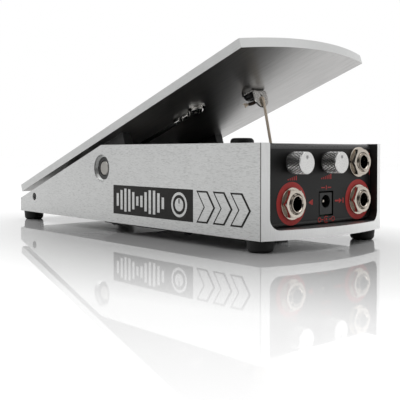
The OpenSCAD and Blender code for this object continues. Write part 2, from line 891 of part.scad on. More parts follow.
module treadle_plate() {
    color("silver") on_treadle() difference() {
        translate([0, 0, pivot_drop]) linear_extrude(plate_t) intersection() {
            translate([-treadle_w / 2, -toe_reach - bulge])
                square([treadle_w, toe_reach + bulge + heel_reach]);
            translate([0, arc_r - bulge - toe_reach]) circle(r = arc_r);
        }
        ear_screw_places() flat_screw_hole(ear_screw_r, ear_head_r, plate_t + 1);
        for (at = [[string_x, bracket_screw_y], [ring_x, ring_y]])
            translate([at[0], at[1], pivot_drop - 1])
                cylinder(r = mount_screw_r + eps, h = mount_hole_l + 1);
    }
}

module grip_mat() {
    color([0.12, 0.12, 0.12]) on_treadle() translate([0, 0, pivot_drop + plate_t])
        linear_extrude(mat_t) plate_outline(mat_margin, 3);
}

module ear(sx) {
    half = ear_l / 2;
    color([0.13, 0.13, 0.13]) on_treadle() mirror([sx > 0 ? 0 : 1, 0, 0]) difference() {
        union() {
            slab_x(ear_x0, ear_x1) polygon([[-half, pivot_drop], [half, pivot_drop], [half, 5],
                [ear_chin, -6], [-ear_chin, -6], [-half, 5]]);
            rod_x(ear_bottom, ear_x0, ear_x1);
        }
        rod_x(axle_d / 2 + eps, 0, case_w);
        translate([(ear_x0 + ear_x1) / 2, 0, -ear_bottom - 1])
            cylinder(r = set_screw_r + eps, h = ear_bottom + 1);
        for (y = ear_screw_ys)
            translate([(ear_x0 + ear_x1) / 2, y, 4]) cylinder(r = ear_screw_r + eps, h = pivot_drop);
    }
}

module ear_left() {
    ear(-1);
}

module ear_right() {
    ear(1);
}

module ear_screws() {
    color("dimgray") on_treadle()
        ear_screw_places() flat_screw(ear_screw_r, ear_head_r, ear_screw_l, ear_key_r);
}

module axle() {
    bevel = 0.6;
    r = axle_d / 2;
    color([0.7, 0.69, 0.66]) on_treadle() rotate([0, 90, 0]) rotate_extrude()
        polygon([[0, -axle_half], [r - bevel, -axle_half], [r, bevel - axle_half],
            [r, axle_half - bevel], [r - bevel, axle_half], [0, axle_half]]);
}

module axle_screws() {
    inner = axle_d / 2;
    length = ear_bottom - inner - 1;
    color([0.1, 0.1, 0.1]) on_treadle() for (s = [-1, 1])
        translate([s * (ear_x0 + ear_x1) / 2, 0, -inner - length]) difference() {
            cylinder(r = set_screw_r, h = length);
            translate([0, 0, -1]) cylinder(r = 1, h = 3, $fn = 6);
        }
}

// The folded tab under the plate that the string pulls on.
module string_bracket() {
    x0 = string_x - tab_w / 2;
    face = -bracket_reach;
    out_r = 2;
    color([0.62, 0.62, 0.6]) on_treadle() difference() {
        intersection() {
            slab_x(x0, x0 + tab_w) {
                translate([face, pivot_drop - tab_drop]) square([tab_t, tab_drop - out_r]);
                translate([face + out_r, pivot_drop - out_r]) bend(out_r, tab_t, -1, 1);
                translate([face + out_r, pivot_drop - tab_t]) square([bracket_l - out_r, tab_t]);
            }
            slab_y(face - 1, face + bracket_l + 1) union() {
                translate([string_x, pivot_drop - tab_drop + tab_w / 2]) circle(d = tab_w);
                translate([x0, pivot_drop - tab_drop + tab_w / 2]) square([tab_w, tab_drop]);
            }
            translate([0, 0, pivot_drop - tab_drop - 1]) linear_extrude(tab_drop + 2) union() {
                translate([string_x, bracket_screw_y]) circle(d = tab_w);
                translate([x0, face - 1]) square([tab_w, bracket_screw_y - face + 1]);
            }
        }
        translate([string_x, 0, hole_local[2]]) rod_y(tab_hole_r, face - 1, face + 3);
        translate([string_x, bracket_screw_y, 0]) cylinder(r = mount_screw_r + eps, h = 2 * pivot_drop);
    }
}

module string_screw() {
    shank = string_washer_t + tab_t + mount_bite;
    color([0.13, 0.13, 0.13]) on_treadle()
        translate([string_x, bracket_screw_y, pivot_drop - tab_t]) rotate([180, 0, 0]) {
            translate([0, 0, string_washer_t])
                pan_screw(mount_screw_r, mount_head_r, string_head_h, shank);
            difference() {
                cylinder(r = string_washer_r, h = string_washer_t);
                translate([0, 0, -1]) cylinder(r = mount_screw_r - eps, h = string_washer_t + 2);
            }
        }
}

// The ring terminal of the earth wire, flat against the plate, with its two crimps.
module earth_ring() {
    z = pivot_drop - ring_t;
    color([0.78, 0.77, 0.74]) on_treadle() difference() {
        union() {
            translate([ring_x, ring_y, z]) cylinder(r = ring_r, h = ring_t);
            translate([ring_x - ring_neck_w / 2, ring_y, z]) cube([ring_neck_w, ring_l, ring_t]);
            for (c = crimps) translate([ring_x, ring_y + c[0], z - c[3]]) rod_y(c[2], 0, c[1]);
        }
        translate([ring_x, ring_y, z - 1]) cylinder(r = mount_screw_r + eps, h = ring_t + 2);
        translate([ring_x, ring_y + 17, z - 1.2]) rod_y(earth_d / 2 + eps, 0, 4);
        translate([ring_x - ring_r, ring_y, pivot_drop]) cube([2 * ring_r, ring_l + 4, 3]);
    }
}

module earth_screw() {
    color([0.75, 0.74, 0.72]) on_treadle() translate([ring_x, ring_y, pivot_drop - ring_t])
        rotate([180, 0, 0]) pan_screw(mount_screw_r, mount_head_r, earth_head_h, ring_t + mount_bite);
}

module drive_string() {
    path = concat([for (p = smooth(string_start, 3)) treadle_point(p)], [
        for (t = [0.35, 0.7, 1]) treadle_point(string_start[5]) * (1 - t) + tangent_at * t]);
    color([0.66, 0.58, 0.48]) on_case() tube(path, string_d / 2, 8);
}

module return_string() {
    color([0.66, 0.58, 0.48]) on_line() rod_y(string_d / 2, 0, hook_s);
}

module spring_hook() {
    hole_s = spring_s0 - hook_ring_r - 1;
    color([0.7, 0.7, 0.7]) on_line() difference() {
        translate([0, 0, -hook_t / 2]) linear_extrude(hook_t) {
            translate([0, hook_s + hook_r]) circle(r = hook_r);
            translate([0, hole_s]) circle(r = hook_r);
            translate([-hook_r, hook_s + hook_r]) square([2 * hook_r, hole_s - hook_s - hook_r]);
        }
        translate([0, hole_s, -hook_t]) cylinder(r = hook_hole_r, h = 2 * hook_t);
    }
}

// The spring: its coil as a plain sleeve, with a hook ring at each end.
module return_spring() {
    color([0.72, 0.72, 0.7]) on_line() {
        difference() {
            rod_y(spring_r, spring_s0, spring_s1);
            rod_y(spring_r - 2 * wire_r, spring_s0 - 1, spring_s1 + 1);
        }
        translate([0, spring_s0 - 1, 0]) rotate([0, 90, 0])
            rotate_extrude() translate([hook_ring_r, 0]) circle(r = wire_r);
        translate([0, line_l, 0]) rotate([0, 90, 0])
            rotate_extrude() translate([pin_ring_r, 0]) circle(r = wire_r);
        translate([0, 0, pin_ring_r]) rod_y(wire_r, spring_s1 - 1, line_l);
    }
}

module earth_wire() {
    color([0.08, 0.08, 0.08]) on_case() tube(smooth(earth_route, 3), earth_d / 2, 8);
}

case_channel();
jack_panel();
panel_screws();
bottom_cover();
cover_screws();
foot_toe_left();
foot_toe_right();
foot_heel_left();
foot_heel_right();
toe_stop();
heel_stop();
rubber_screws();
pivot_bush_left();
pivot_bush_right();
heel_pin();
input_jack();
output_jack();
tuner_jack();
jack_bushings();
jack_washers();
jack_nuts();
dc_jack();
dc_pin();
main_board();
board_posts();
board_screws();
control_board();
amp_chip();
capacitors();
min_pot();
gain_pot();
min_shaft();
min_knob();
gain_shaft();
gain_knob();
pot_bracket();
bracket_bolts();
volume_pot();
pot_nut();
pot_leads();
pot_shaft();
string_drum();
string_wrap();
treadle_plate();
grip_mat();
ear_left();
ear_right();
ear_screws();
axle();
axle_screws();
string_bracket();
string_screw();
earth_ring();
earth_screw();
drive_string();
return_string();
return_spring();
spring_hook();
earth_wire();
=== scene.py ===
"""Looks of a volume pedal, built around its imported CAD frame: detailed pieces, materials, stage."""

import json
import math

import bmesh
import bpy
from mathutils import Matrix, Vector


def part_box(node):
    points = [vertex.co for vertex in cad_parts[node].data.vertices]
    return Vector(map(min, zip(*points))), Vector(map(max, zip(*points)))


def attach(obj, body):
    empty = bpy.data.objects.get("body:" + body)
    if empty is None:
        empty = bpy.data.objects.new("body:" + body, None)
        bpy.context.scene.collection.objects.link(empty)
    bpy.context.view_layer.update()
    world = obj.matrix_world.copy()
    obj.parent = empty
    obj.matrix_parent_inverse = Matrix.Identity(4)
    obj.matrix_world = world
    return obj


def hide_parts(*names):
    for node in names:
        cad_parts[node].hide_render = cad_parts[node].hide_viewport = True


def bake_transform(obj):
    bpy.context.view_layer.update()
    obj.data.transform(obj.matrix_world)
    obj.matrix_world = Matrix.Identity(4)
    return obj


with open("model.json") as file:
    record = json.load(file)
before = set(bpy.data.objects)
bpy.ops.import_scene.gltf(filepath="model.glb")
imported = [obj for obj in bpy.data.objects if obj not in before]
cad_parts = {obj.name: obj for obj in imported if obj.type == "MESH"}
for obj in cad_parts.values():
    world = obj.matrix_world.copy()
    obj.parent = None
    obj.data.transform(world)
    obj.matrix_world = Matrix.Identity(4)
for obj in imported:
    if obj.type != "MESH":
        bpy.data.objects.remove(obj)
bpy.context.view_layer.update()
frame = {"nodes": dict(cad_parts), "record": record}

MM = 0.001
CAD = frame["nodes"]
BEHAVIOUR = frame["record"]["behaviour"]
JOINTS = {joint["name"]: joint for joint in BEHAVIOUR["joints"]}
BODY_OF = {node: body for body, nodes in BEHAVIOUR["bodies"].items() for node in nodes}

# The case's frame: origin between its front corners, on its underside. The treadle's frame:
# origin on the pivot axis, y along the plate towards the heel, tilted at rest.
PIVOT = Vector(JOINTS["treadle_rock"]["pos_m"])
DRUM = Vector(JOINTS["drum_turn"]["pos_m"])
PANEL_FACE = 2.8
CASE_INSIDE = 40.6
TREADLE_TILT = math.radians(19)
CASE = Matrix.Translation(
    (0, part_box("jack_panel")[0].y - PANEL_FACE * MM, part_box("case_channel")[0].z))
TREADLE = Matrix.Translation(PIVOT) @ Matrix.Rotation(-TREADLE_TILT, 4, "X")


def in_case(x, y, z):
    return CASE @ Vector((x * MM, y * MM, z * MM))


def in_treadle(x, y, z):
    return TREADLE @ Vector((x * MM, y * MM, z * MM))


# ---------------------------------------------------------------- camera and stage

CAMERA_AT = (-0.2741, -0.33793, 0.04589)
LENS_MM = 64.45
LENS_SHIFT = -0.0839
LOOKS_DOWN = 1.12
HEADING = -40.64


def make_camera():
    data = bpy.data.cameras.new("camera")
    data.lens = LENS_MM
    data.sensor_width = 36
    data.shift_y = LENS_SHIFT
    data.clip_start = 0.01
    camera = bpy.data.objects.new("camera", data)
    camera.location = CAMERA_AT
    camera.rotation_euler = (math.radians(90 - LOOKS_DOWN), 0, math.radians(HEADING))
    bpy.context.collection.objects.link(camera)
    bpy.context.scene.camera = camera


def make_light(name, place, target, size, watts):
    data = bpy.data.lights.new(name, "AREA")
    data.shape = "RECTANGLE"
    data.size, data.size_y = size
    data.energy = watts
    light = bpy.data.objects.new(name, data)
    light.location = place
    light.rotation_euler = (Vector(target) - Vector(place)).to_track_quat("-Z", "Y").to_euler()
    bpy.context.collection.objects.link(light)


def make_world():
    """Soft studio light from all sides but the photographer's, which is dark; the backdrop is white."""
    world = bpy.data.worlds.new("studio")
    world.use_nodes = True
    tree = world.node_tree
    toward_camera = bpy.context.scene.camera.location.copy()
    toward_camera.z = 0
    facing = tree.nodes.new("ShaderNodeVectorMath")
    facing.operation = "DOT_PRODUCT"
    facing.inputs[1].default_value = toward_camera.normalized()
    tree.links.new(tree.nodes.new("ShaderNodeTexCoord").outputs["Generated"], facing.inputs[0])
    remap = tree.nodes.new("ShaderNodeMapRange")
    remap.inputs["From Min"].default_value = -1
    tree.links.new(facing.outputs["Value"], remap.inputs["Value"])
    ramp = tree.nodes.new("ShaderNodeValToRGB")
    tree.links.new(remap.outputs["Result"], ramp.inputs["Fac"])
    stops = ramp.color_ramp.elements
    stops[0].position, stops[0].color = 0.15, (1, 1, 1, 1)
    stops[1].position, stops[1].color = 0.94, (0.02, 0.02, 0.02, 1)
    for position, level in ((0.35, 0.80), (0.76, 0.84)):
        stops.new(position).color = (level, level, level, 1)
    studio = tree.nodes["Background"]
    tree.links.new(ramp.outputs["Color"], studio.inputs["Color"])
    backdrop = tree.nodes.new("ShaderNodeBackground")
    mix = tree.nodes.new("ShaderNodeMixShader")
    tree.links.new(tree.nodes.new("ShaderNodeLightPath").outputs["Is Camera Ray"], mix.inputs["Fac"])
    tree.links.new(studio.outputs["Background"], mix.inputs[1])
    tree.links.new(backdrop.outputs["Background"], mix.inputs[2])
    backdrop.inputs["Color"].default_value = (1, 1, 1, 1)
    tree.links.new(mix.outputs["Shader"], tree.nodes["World Output"].inputs["Surface"])
    bpy.context.scene.world = world


def make_stage(floor_look):
    make_world()
    bpy.context.scene.view_settings.view_transform = "Standard"
    make_light("key", (-0.9, 0.4, 1.0), (0, 0, 0.04), (0.8, 0.8), 2)
    make_light("overhead", (0, 0, 1.6), (0, 0, 0), (2.0, 2.0), 15)
    reach = 6
    corners = [(-reach, -reach, 0), (reach, -reach, 0), (reach, reach, 0), (-reach, reach, 0)]
    mesh = bpy.data.meshes.new("floor")
    mesh.from_pydata(corners, [], [(0, 1, 2, 3)])
    mesh.materials.append(floor_look)
    floor = bpy.data.objects.new("floor", mesh)
    bpy.context.collection.objects.link(floor)


# ---------------------------------------------------------------- materials

class Look:
    """A material under construction: its node tree and its Principled shader."""

    def __init__(self, name, color, metallic=0.0, roughness=0.5, **sockets):
        self.material = bpy.data.materials.new(name)
        self.material.use_nodes = True
        self.tree = self.material.node_tree
        self.shader = self.tree.nodes["Principled BSDF"]
        self.color = color
        self.roughness = roughness
        self.shader.inputs["Base Color"].default_value = (*color, 1)
        self.shader.inputs["Metallic"].default_value = metallic
        self.shader.inputs["Roughness"].default_value = roughness
        for socket, value in sockets.items():
            self.shader.inputs[socket.replace("_", " ")].default_value = value

    def link(self, source, target):
        self.tree.links.new(source, target)

    def place(self, scale=(1, 1, 1), tilt=0.0, shift=(0, 0, 0)):
        """Object coordinates, turned by tilt about X, then scaled and then shifted."""
        coordinates = self.tree.nodes.new("ShaderNodeTexCoord").outputs["Object"]
        turn = self.tree.nodes.new("ShaderNodeMapping")
        turn.inputs["Rotation"].default_value = (tilt, 0, 0)
        self.link(coordinates, turn.inputs["Vector"])
        stretch = self.tree.nodes.new("ShaderNodeMapping")
        stretch.inputs["Scale"].default_value = scale
        stretch.inputs["Location"].default_value = shift
        self.link(turn.outputs["Vector"], stretch.inputs["Vector"])
        return stretch.outputs["Vector"]

    def noise(self, scale, detail=2.0, rough=0.5, tilt=0.0):
        """Noise whose grains are about 1 / scale metres; scale is one number or one per axis."""
        sizes = scale if isinstance(scale, tuple) else (scale,) * 3
        texture = self.tree.nodes.new("ShaderNodeTexNoise")
        texture.inputs["Scale"].default_value = 1
        texture.inputs["Detail"].default_value = detail
        texture.inputs["Roughness"].default_value = rough
        self.link(self.place(sizes, tilt), texture.inputs["Vector"])
        return texture.outputs["Fac"]

    def spread(self, value, low, high, start=0.3, end=0.7):
        """Maps the middle of a 0 to 1 value onto low to high."""
        remap = self.tree.nodes.new("ShaderNodeMapRange")
        remap.inputs["From Min"].default_value = start
        remap.inputs["From Max"].default_value = end
        remap.inputs["To Min"].default_value = low
        remap.inputs["To Max"].default_value = high
        self.link(value, remap.inputs["Value"])
        return remap.outputs["Result"]

    def multiply(self, first, second):
        node = self.tree.nodes.new("ShaderNodeMath")
        node.operation = "MULTIPLY"
        self.link(first, node.inputs[0])
        self.link(second, node.inputs[1])
        return node.outputs[0]

    def shade(self, value):
        """Multiplies the base colour by a value near 1."""
        scaled = self.tree.nodes.new("ShaderNodeVectorMath")
        scaled.operation = "SCALE"
        scaled.inputs[0].default_value = self.color
        self.link(value, scaled.inputs["Scale"])
        self.link(scaled.outputs["Vector"], self.shader.inputs["Base Color"])

    def blend(self, value, other):
        """Blends the base colour with another as value goes from 0 to 1."""
        mix = self.tree.nodes.new("ShaderNodeMix")
        mix.data_type = "RGBA"
        mix.inputs["A"].default_value = (*self.color, 1)
        mix.inputs["B"].default_value = (*other, 1)
        self.link(value, mix.inputs["Factor"])
        self.link(mix.outputs["Result"], self.shader.inputs["Base Color"])

    def gloss(self, value, swing):
        """Varies the roughness by swing around its own value."""
        self.link(self.spread(value, self.roughness - swing, self.roughness + swing),
                  self.shader.inputs["Roughness"])

    def bump(self, height, depth_mm):
        node = self.tree.nodes.new("ShaderNodeBump")
        node.inputs["Distance"].default_value = depth_mm * MM
        node.inputs["Strength"].default_value = 1
        self.link(height, node.inputs["Height"])
        self.link(node.outputs["Normal"], self.shader.inputs["Normal"])


def brushed_aluminium(name, color, along, depth, tilt=0.0, roughness=0.34):
    """Aluminium brushed along Y: a fine grain, short darker dashes and soft clouds. Dashes are about
    1 / along metres long and darken the metal by depth; the tilt lays the grain along the treadle."""
    look = Look(name, color, metallic=1.0, roughness=roughness)
    dashes = look.noise((3500, along, 3500), detail=3, rough=0.5, tilt=tilt)
    fine = look.noise((7500, along, 7500), detail=2, tilt=tilt)
    clouds = look.noise(22, detail=2)
    tone = look.multiply(look.spread(dashes, 1 - depth, 1 + depth / 5, start=0.32, end=0.5),
                         look.spread(fine, 1 - depth / 3, 1 + depth / 3))
    look.shade(look.multiply(tone, look.spread(clouds, 0.97, 1.03)))
    look.gloss(fine, 0.05)
    look.bump(fine, 0.006)
    return look.material


def cut_aluminium(name, color):
    """A sawn and linished end face: satin, with faint fine lines up and down."""
    look = Look(name, color, metallic=1.0, roughness=0.42)
    lines = look.noise((5200, 5200, 260), detail=2)
    look.shade(look.multiply(look.spread(lines, 0.95, 1.03), look.spread(look.noise(40), 0.98, 1.02)))
    look.gloss(lines, 0.04)
    look.bump(lines, 0.004)
    return look.material


def speckled(name, color, metallic, roughness, grain, contrast=0.06, depth=0.01, swing=0.05, **sockets):
    """A plain finish with an even fine grain in its tone, gloss and surface."""
    look = Look(name, color, metallic=metallic, roughness=roughness, **sockets)
    fine = look.noise(grain, detail=3)
    clouds = look.noise(grain / 25, detail=2)
    look.shade(look.multiply(look.spread(fine, 1 - contrast, 1 + contrast),
                             look.spread(clouds, 1 - contrast / 2, 1 + contrast / 2)))
    look.gloss(fine, swing)
    look.bump(fine, depth)
    return look.material


def worn_print(name, color, under, wear):
    """Printed ink with small pinholes that show the tone under it."""
    look = Look(name, color, roughness=0.5, Specular_IOR_Level=0.25)
    specks = look.noise(2600, detail=3, rough=0.7)
    look.blend(look.spread(specks, 0, 1, start=1 - wear, end=1), under)
    look.gloss(look.noise(900), 0.06)
    look.bump(specks, 0.006)
    return look.material


def cord_look(name, color, shadow):
    """Twisted cord: pale strands, darker between fibres."""
    look = Look(name, color, roughness=0.85, Sheen_Weight=0.3)
    fibres = look.noise((9000, 9000, 1500), detail=4, rough=0.7)
    look.blend(look.spread(fibres, 0, 1, start=0.42, end=0.72), shadow)
    look.bump(fibres, 0.03)
    return look.material


def floor_look():
    """Glossy white floor with a painted shadow: greyer under and around the pedal."""
    look = Look("floor_white", (1.0, 1.0, 1.0), roughness=0.02)
    distance = look.tree.nodes.new("ShaderNodeVectorMath")
    distance.operation = "LENGTH"
    look.link(look.place((5.3, 3.0, 1), shift=(0.12, 0.09, 0)), distance.inputs[0])
    # Painted shadow: the base colour greys towards the pedal.
    look.shade(look.spread(distance.outputs["Value"], 0.40, 1.0, start=0.3, end=0.76))
    look.gloss(look.noise(3), 0.01)
    return look.material


# ---------------------------------------------------------------- mesh helpers

def finish(obj, node_or_body, look, slot=None, hides=(), sharp=40, others=(), pick=None):
    """Shades a piece, gives it its material and lets it ride on its body. For a piece with other
    materials too, pick gives each face the place of its own: 0 is look, 1 the first of the others."""
    mesh = obj.data
    mesh.materials.clear()
    for material in (look, *others):
        mesh.materials.append(material)
    if others:
        for face in mesh.polygons:
            face.material_index = pick(face)
    mesh.polygons.foreach_set("use_smooth", [True] * len(mesh.polygons))
    mesh.set_sharp_from_angle(angle=math.radians(sharp))
    weighted = obj.modifiers.new("weighted", "WEIGHTED_NORMAL")
    weighted.keep_sharp = True
    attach(obj, BODY_OF.get(node_or_body, node_or_body))
    if hides:
        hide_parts(*hides)
    return obj


def new_object(name, verts, faces):
    mesh = bpy.data.meshes.new(name)
    mesh.from_pydata([tuple(v) for v in verts], [], faces)
    mesh.validate()
    obj = bpy.data.objects.new(name, mesh)
    bpy.context.collection.objects.link(obj)
    return obj


def tidy_normals(obj):
    work = bmesh.new()
    work.from_mesh(obj.data)
    bmesh.ops.recalc_face_normals(work, faces=work.faces)
    work.to_mesh(obj.data)
    work.free()


CORNER = math.radians(35)


def is_toe_corner(edge):
    """True for the upright edges at the two outer corners of the toe end."""
    low, high = (vert.co for vert in edge.verts)
    along = high - low
    side, toe = 44.8 * MM, -110 * MM
    return (min(abs(low.x), abs(high.x)) > side and max(low.y, high.y) < toe
            and abs(along.z) > 0.8 * along.length)


def is_panel_outline(edge):
    """True for the sides, the bottom and the lower corners of the jack panel's face."""
    side, bottom, corner_side, corner_top = 40.2, 5, 34.8, 10.2

    def on_outline(vert):
        at = CASE.inverted() @ vert.co / MM
        across = abs(at.x)
        in_corner = across > corner_side and at.z < corner_top
        return abs(at.y - PANEL_FACE) < 0.05 and (across > side or at.z < bottom or in_corner)

    return all(on_outline(vert) for vert in edge.verts)


def corner_edges(work):
    return [edge for edge in work.edges if len(edge.link_faces) == 2 and edge.calc_face_angle() > CORNER]


def break_edges(work, edges, width_mm, clamp):
    bmesh.ops.bevel(work, geom=edges, offset=width_mm * MM, offset_type="OFFSET", segments=3,
                    profile=0.5, affect="EDGES", clamp_overlap=clamp)


def refined(node, look, bevel_mm, first=None, **picked):
    """A copy of a CAD node with its corners broken, standing for the node. First may hold a test
    that picks some edges and the bevel, in mm, that they get before the others."""
    mesh = CAD[node].data.copy()
    work = bmesh.new()
    work.from_mesh(mesh)
    bmesh.ops.remove_doubles(work, verts=work.verts, dist=1e-6)
    bmesh.ops.dissolve_limit(work, angle_limit=math.radians(1), verts=work.verts, edges=work.edges)
    if first:
        is_first, first_mm = first
        break_edges(work, [edge for edge in corner_edges(work) if is_first(edge)], first_mm, clamp=False)
    break_edges(work, corner_edges(work), bevel_mm, clamp=True)
    work.to_mesh(mesh)
    work.free()
    obj = bpy.data.objects.new(node + "_piece", mesh)
    bpy.context.collection.objects.link(obj)
    material_slot = next(s["material_slot"] for s in frame["record"]["subparts"] if s["node"] == node)
    return finish(obj, node, look, material_slot, hides=[node], **picked)


def case_face(face):
    """1 for the sawn ends, 2 for the inside of the walls, which get a dark painted shade, 3 for the broken
    upright corners, which get a darker painted shade, else 0.
    """
    normal = face.normal
    if abs(normal.x) > 0.4 and abs(normal.y) > 0.15:
        return 3
    if abs(normal.y) > 0.6:
        return 1
    across = abs(face.center.x)
    faces_inwards = normal.x * face.center.x < -0.3 * across
    return 2 if across < CASE_INSIDE * MM and faces_inwards else 0


def panel_face(face):
    """1 for the bend at the top and the outline's bottom and right, which get a lighter colour as a painted
    highlight, else 0.
    """
    normal = face.normal
    return int(normal.z > 0.15 or normal.z < -0.2 or normal.x > 0.2)


def plate_face(face):
    """1 for the toe and heel edges, in a darker copy of the cut finish as painted shade, 2 for the
    underside, in darker aluminium as painted shade, 3 for the broken corners, in dark painted shade, else
    0.
    """
    normal = TREADLE.to_3x3().inverted() @ face.normal
    if abs(normal.x) > 0.45 and abs(normal.y) > 0.45:
        return 3
    if normal.z < -0.9:
        return 2
    return int(abs(normal.y) > 0.6)


def paint(node, look):
    """Gives a CAD node that stays as it is its material."""
    CAD[node].data.materials.clear()
    CAD[node].data.materials.append(look)


def turned(name, rows, origin, axis, sides=64, loop=True):
    """A turned piece. Each row is (radius, distance along axis) in mm, or a function of the angle that
    gives them; a loop joins the last row to the first, otherwise the two end rows are capped."""
    axis = Vector(axis).normalized()
    across = axis.orthogonal().normalized() if abs(axis.y) < 0.9 else Vector((1, 0, 0))
    up = axis.cross(across)
    verts = []
    for row in rows:
        for k in range(sides):
            angle = 2 * math.pi * k / sides
            radius, along = row(angle) if callable(row) else row
            spoke = across * math.cos(angle) + up * math.sin(angle)
            verts.append(origin + (spoke * radius + axis * along) * MM)
    count = len(rows)
    faces = []
    for i in range(count if loop else count - 1):
        low, high = i * sides, ((i + 1) % count) * sides
        faces += [(low + k, low + (k + 1) % sides, high + (k + 1) % sides, high + k) for k in range(sides)]
    if not loop:
        faces.append(tuple(range(sides))[::-1])
        faces.append(tuple(range((count - 1) * sides, count * sides)))
    obj = new_object(name, verts, faces)
    tidy_normals(obj)
    return obj


def joined(name, objects):
    """One object from several, in place of them."""
    work = bmesh.new()
    for obj in objects:
        obj.data.transform(obj.matrix_world)
        work.from_mesh(obj.data)
        bpy.data.objects.remove(obj)
    mesh = bpy.data.meshes.new(name)
    work.to_mesh(mesh)
    work.free()
    obj = bpy.data.objects.new(name, mesh)
    bpy.context.collection.objects.link(obj)
    return obj


def smooth_path(route, step):
    """A smooth curve through the points of a route, with a point about every step metres."""
    points = []
    last = len(route) - 1
    for i in range(last):
        a, b, c, d = route[max(i - 1, 0)], route[i], route[i + 1], route[min(i + 2, last)]
        count = max(1, round((c - b).length / step))
        for j in range(count):
            t = j / count
            points.append(0.5 * (2 * b + (c - a) * t + (2 * a - 5 * b + 4 * c - d) * t * t
                                 + (3 * b - a - 3 * c + d) * t ** 3))
    return points + [route[-1]]


def swept(name, path, radius, sides=12):
    """A tube along a path; radius is in metres, or a function of angle and distance along it."""
    tangents = [(path[min(i + 1, len(path) - 1)] - path[max(i - 1, 0)]).normalized()
                for i in range(len(path))]
    side = tangents[0].orthogonal().normalized()
    verts = []
    travelled = 0.0
    for i, (point, tangent) in enumerate(zip(path, tangents)):
        side = (side - tangent * side.dot(tangent)).normalized()
        up = tangent.cross(side)
        travelled += (point - path[max(i - 1, 0)]).length
        for k in range(sides):
            angle = 2 * math.pi * k / sides
            r = radius(angle, travelled) if callable(radius) else radius
            verts.append(point + (side * math.cos(angle) + up * math.sin(angle)) * r)
    faces = [(i * sides + k, i * sides + (k + 1) % sides, (i + 1) * sides + (k + 1) % sides,
              (i + 1) * sides + k) for i in range(len(path) - 1) for k in range(sides)]
    faces.append(tuple(range(sides))[::-1])
    faces.append(tuple(range((len(path) - 1) * sides, len(path) * sides)))
    obj = new_object(name, verts, faces)
    tidy_normals(obj)
    return obj


def twist(radius, lay, strands=3, depth=0.16):
    """The outline of a twisted cord: rounded strands that turn once in every lay metres."""
    def outline(angle, travelled):
        phase = strands * (angle + 2 * math.pi * travelled / lay) / 2
        return radius * (1 - depth + depth * abs(math.cos(phase)))
    return outline


def flat_print(name, loops, plane, thickness_mm, look, body, slot):
    """Thin printed shapes: outlines in mm, filled and holed by turns, on a plane given as a matrix."""
    curve = bpy.data.curves.new(name, "CURVE")
    curve.dimensions = "2D"
    curve.fill_mode = "BOTH"
    curve.extrude = thickness_mm / 2 * MM
    for loop in loops:
        spline = curve.splines.new("POLY")
        spline.points.add(len(loop) - 1)
        for point, (a, b) in zip(spline.points, loop):
            point.co = (a * MM, b * MM, 0, 1)
        spline.use_cyclic_u = True
    shape = bpy.data.objects.new(name + "_curve", curve)
    bpy.context.collection.objects.link(shape)
    shape.matrix_world = plane
    bpy.context.view_layer.update()
    mesh = bpy.data.meshes.new_from_object(shape.evaluated_get(bpy.context.evaluated_depsgraph_get()))
    mesh.transform(plane)
    bpy.data.objects.remove(shape)
    obj = bpy.data.objects.new(name, mesh)
    bpy.context.collection.objects.link(obj)
    return finish(obj, body, look, slot)


def circle(x, y, radius, sides=64):
    turns = [2 * math.pi * k / sides for k in range(sides)]
    return [(x + radius * math.cos(turn), y + radius * math.sin(turn)) for turn in turns]


def rectangle(x0, y0, x1, y1):
    return [(x0, y0), (x1, y0), (x1, y1), (x0, y1)]


# ---------------------------------------------------------------- pieces on the panel

def hexagon_radius(across_flats, angle):
    """Distance from a hexagon's centre to its edge, flats facing up and down."""
    return across_flats / 2 / math.cos(angle % (math.pi / 3) - math.pi / 6)


def chamfered_nut(name, centre, axis, across_flats, bore_r, thickness):
    land = across_flats / 2 * 1.03
    slope = math.tan(math.radians(30))
    lead_in = 0.35

    def rim(high):
        def row(angle):
            radius = hexagon_radius(across_flats, angle)
            drop = (radius - land) * slope
            return radius, thickness - drop if high else drop
        return row

    rows = [(bore_r + lead_in, thickness), (land, thickness), rim(True), rim(False), (land, 0),
            (bore_r + lead_in, 0), (bore_r, lead_in), (bore_r, thickness - lead_in)]
    return turned(name, rows, centre, axis, sides=96)


def threaded_bushing(name, centre, axis, radius, bore_r, length, pitch=0.79, depth=0.42):
    """A bushing with a real helical thread outside and a chamfered mouth; axis points out of its mouth."""
    steps = 8
    mouth = 0.55

    def crest(along):
        def row(angle):
            turn = (along / pitch - angle / (2 * math.pi)) % 1
            return radius - depth * abs(2 * turn - 1) ** 0.8, along
        return row

    count = round((length - mouth) / pitch * steps)
    rows = [crest(-length + (length - mouth) * i / count) for i in range(count + 1)]
    rows += [(radius - depth, -mouth + 0.12), (radius - depth - 0.1, -0.15), (radius - depth - 0.3, 0),
             (bore_r + 0.5, 0), (bore_r + 0.1, -0.35), (bore_r, -0.6), (bore_r, -length)]
    return turned(name, rows, centre, axis, sides=72)


KNURL_DEPTH = 0.7
KNURL_ROW = 1.2


